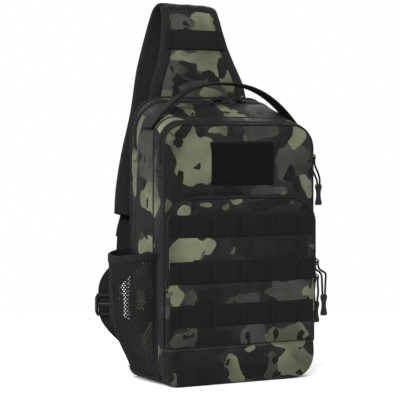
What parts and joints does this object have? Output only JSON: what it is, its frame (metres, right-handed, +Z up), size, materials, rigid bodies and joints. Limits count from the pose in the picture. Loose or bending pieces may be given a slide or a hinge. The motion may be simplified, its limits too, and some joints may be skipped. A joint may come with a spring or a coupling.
{
  "type": "sling bag",
  "caption": "One-shoulder sling bag: zipped compartments with cord pulls, webbing rows, mesh bottle pocket, carry handle and a padded strap with webbing adjuster.",
  "frame": {"origin": "centre of the base, on the surface the bag stands on", "axes": "+Z up; the front, with the webbing rows, faces -Y; +X is to the right of someone who looks at the front"},
  "size_m": [0.254, 0.1727, 0.4435],
  "materials": {
    "camo_fabric": "black camouflage printed woven nylon, matt",
    "webbing": "ribbed black nylon webbing",
    "air_mesh": "black spacer mesh over foam",
    "lining": "plain black woven lining",
    "loop_fabric": "fuzzy hook-and-loop field",
    "net_mesh": "open diamond net",
    "elastic": "elastic binding",
    "zip_tape": "nylon coil zip and its tape",
    "zip_metal": "black gunmetal, glossy",
    "cord": "braided cord",
    "grip_plastic": "moulded, matt",
    "hard_plastic": "satin moulded acetal"
  },
  "bodies": {
    "root": {"back_panel": "lining", "back_pad": "air_mesh", "main_gusset": "camo_fabric", "divider_panel": "lining", "middle_gusset": "camo_fabric", "middle_front_panel": "camo_fabric", "bottom_panel": "camo_fabric", "front_pocket_base": "camo_fabric", "loop_patch": "loop_fabric", "molle_row_3": "webbing", "main_zip": "zip_tape", "middle_zip": "zip_tape", "front_pocket_zip": "zip_tape", "lower_webbing": "webbing", "anchor_tab": "webbing", "bottle_mesh": "net_mesh", "bottle_rim": "elastic"},
    "pocket_flap": {"front_pocket_flap": "camo_fabric", "molle_row_1": "webbing", "molle_row_2": "webbing"},
    "handle": {"handle": "webbing"},
    "strap": {"strap_shell": "camo_fabric", "strap_lining": "air_mesh", "strap_binding_left": "webbing", "strap_binding_right": "webbing", "strap_webbing_row": "webbing"},
    "adjuster": {"strap_adjuster": "hard_plastic"},
    "main_left_slider": {"main_left_slider": "zip_metal"},
    "main_left_pull": {"main_left_cord": "cord", "main_left_grip": "grip_plastic"},
    "main_right_slider": {"main_right_slider": "zip_metal"},
    "main_right_pull": {"main_right_cord": "cord", "main_right_grip": "grip_plastic"},
    "middle_slider": {"middle_slider": "zip_metal"},
    "middle_pull": {"middle_cord": "cord", "middle_grip": "grip_plastic"},
    "pocket_lower_slider": {"pocket_lower_slider": "zip_metal"},
    "pocket_lower_pull": {"pocket_lower_cord": "cord", "pocket_lower_grip": "grip_plastic"},
    "pocket_upper_slider": {"pocket_upper_slider": "zip_metal"},
    "pocket_upper_pull": {"pocket_upper_cord": "cord", "pocket_upper_grip": "grip_plastic"}
  },
  "joints": [
    {"name": "front_pocket_fold", "type": "hinge", "parent": "root", "child": "pocket_flap", "pos_m": [0, -0.057, 0.1123], "axis": [1, 0, 0], "range_deg": [0, 110]},
    {"name": "handle_tilt", "type": "hinge", "parent": "root", "child": "handle", "pos_m": [0, -0.01, 0.289], "axis": [1, 0, 0], "range_deg": [-6, 10]},
    {"name": "strap_swing", "type": "hinge", "parent": "root", "child": "strap", "pos_m": [0, 0.0505, 0.327], "axis": [1, 0, 0], "range_deg": [-3, 20], "deforming": ["lower_webbing"]},
    {"name": "adjuster_slide", "type": "slide", "parent": "root", "child": "adjuster", "axis": [0, 0, 1], "range_m": [-0.0015, 0.009]},
    {"name": "main_left_zip_slide", "type": "slide", "parent": "root", "child": "main_left_slider", "axis": [1, 0, 0], "range_m": [-0.04, 0.002]},
    {"name": "main_left_pull_swing", "type": "hinge", "parent": "main_left_slider", "child": "main_left_pull", "pos_m": [0.017, 0.03117, 0.32562], "axis": [0, 0.9468, 0.3219], "range_deg": [0, 25]},
    {"name": "main_right_zip_slide", "type": "slide", "parent": "root", "child": "main_right_slider", "axis": [1, 0, 0], "range_m": [-0.002, 0.002]},
    {"name": "main_right_pull_swing", "type": "hinge", "parent": "main_right_slider", "child": "main_right_pull", "pos_m": [0.047, 0.03117, 0.32562], "axis": [0, 0.9468, 0.3219], "range_deg": [0, 25]},
    {"name": "middle_zip_slide", "type": "slide", "parent": "root", "child": "middle_slider", "axis": [0, 0, 1], "range_m": [-0.003, 0.008]},
    {"name": "middle_pull_swing", "type": "hinge", "parent": "middle_slider", "child": "middle_pull", "pos_m": [0.10157, -0.0425, 0.256], "axis": [0, -1, 0], "range_deg": [0, 140]},
    {"name": "pocket_lower_zip_slide", "type": "slide", "parent": "root", "child": "pocket_lower_slider", "axis": [0, 0, 1], "range_m": [-0.002, 0.002]},
    {"name": "pocket_lower_pull_swing", "type": "hinge", "parent": "pocket_lower_slider", "child": "pocket_lower_pull", "pos_m": [0.1004, -0.05175, 0.1155], "axis": [0, -1, 0], "range_deg": [0, 125]},
    {"name": "pocket_upper_zip_slide", "type": "slide", "parent": "root", "child": "pocket_upper_slider", "axis": [0, 0, 1], "range_m": [-0.002, 0.035]},
    {"name": "pocket_upper_pull_swing", "type": "hinge", "parent": "pocket_upper_slider", "child": "pocket_upper_pull", "pos_m": [0.1004, -0.05175, 0.1335], "axis": [0, -1, 0], "range_deg": [0, 140]}
  ]
}
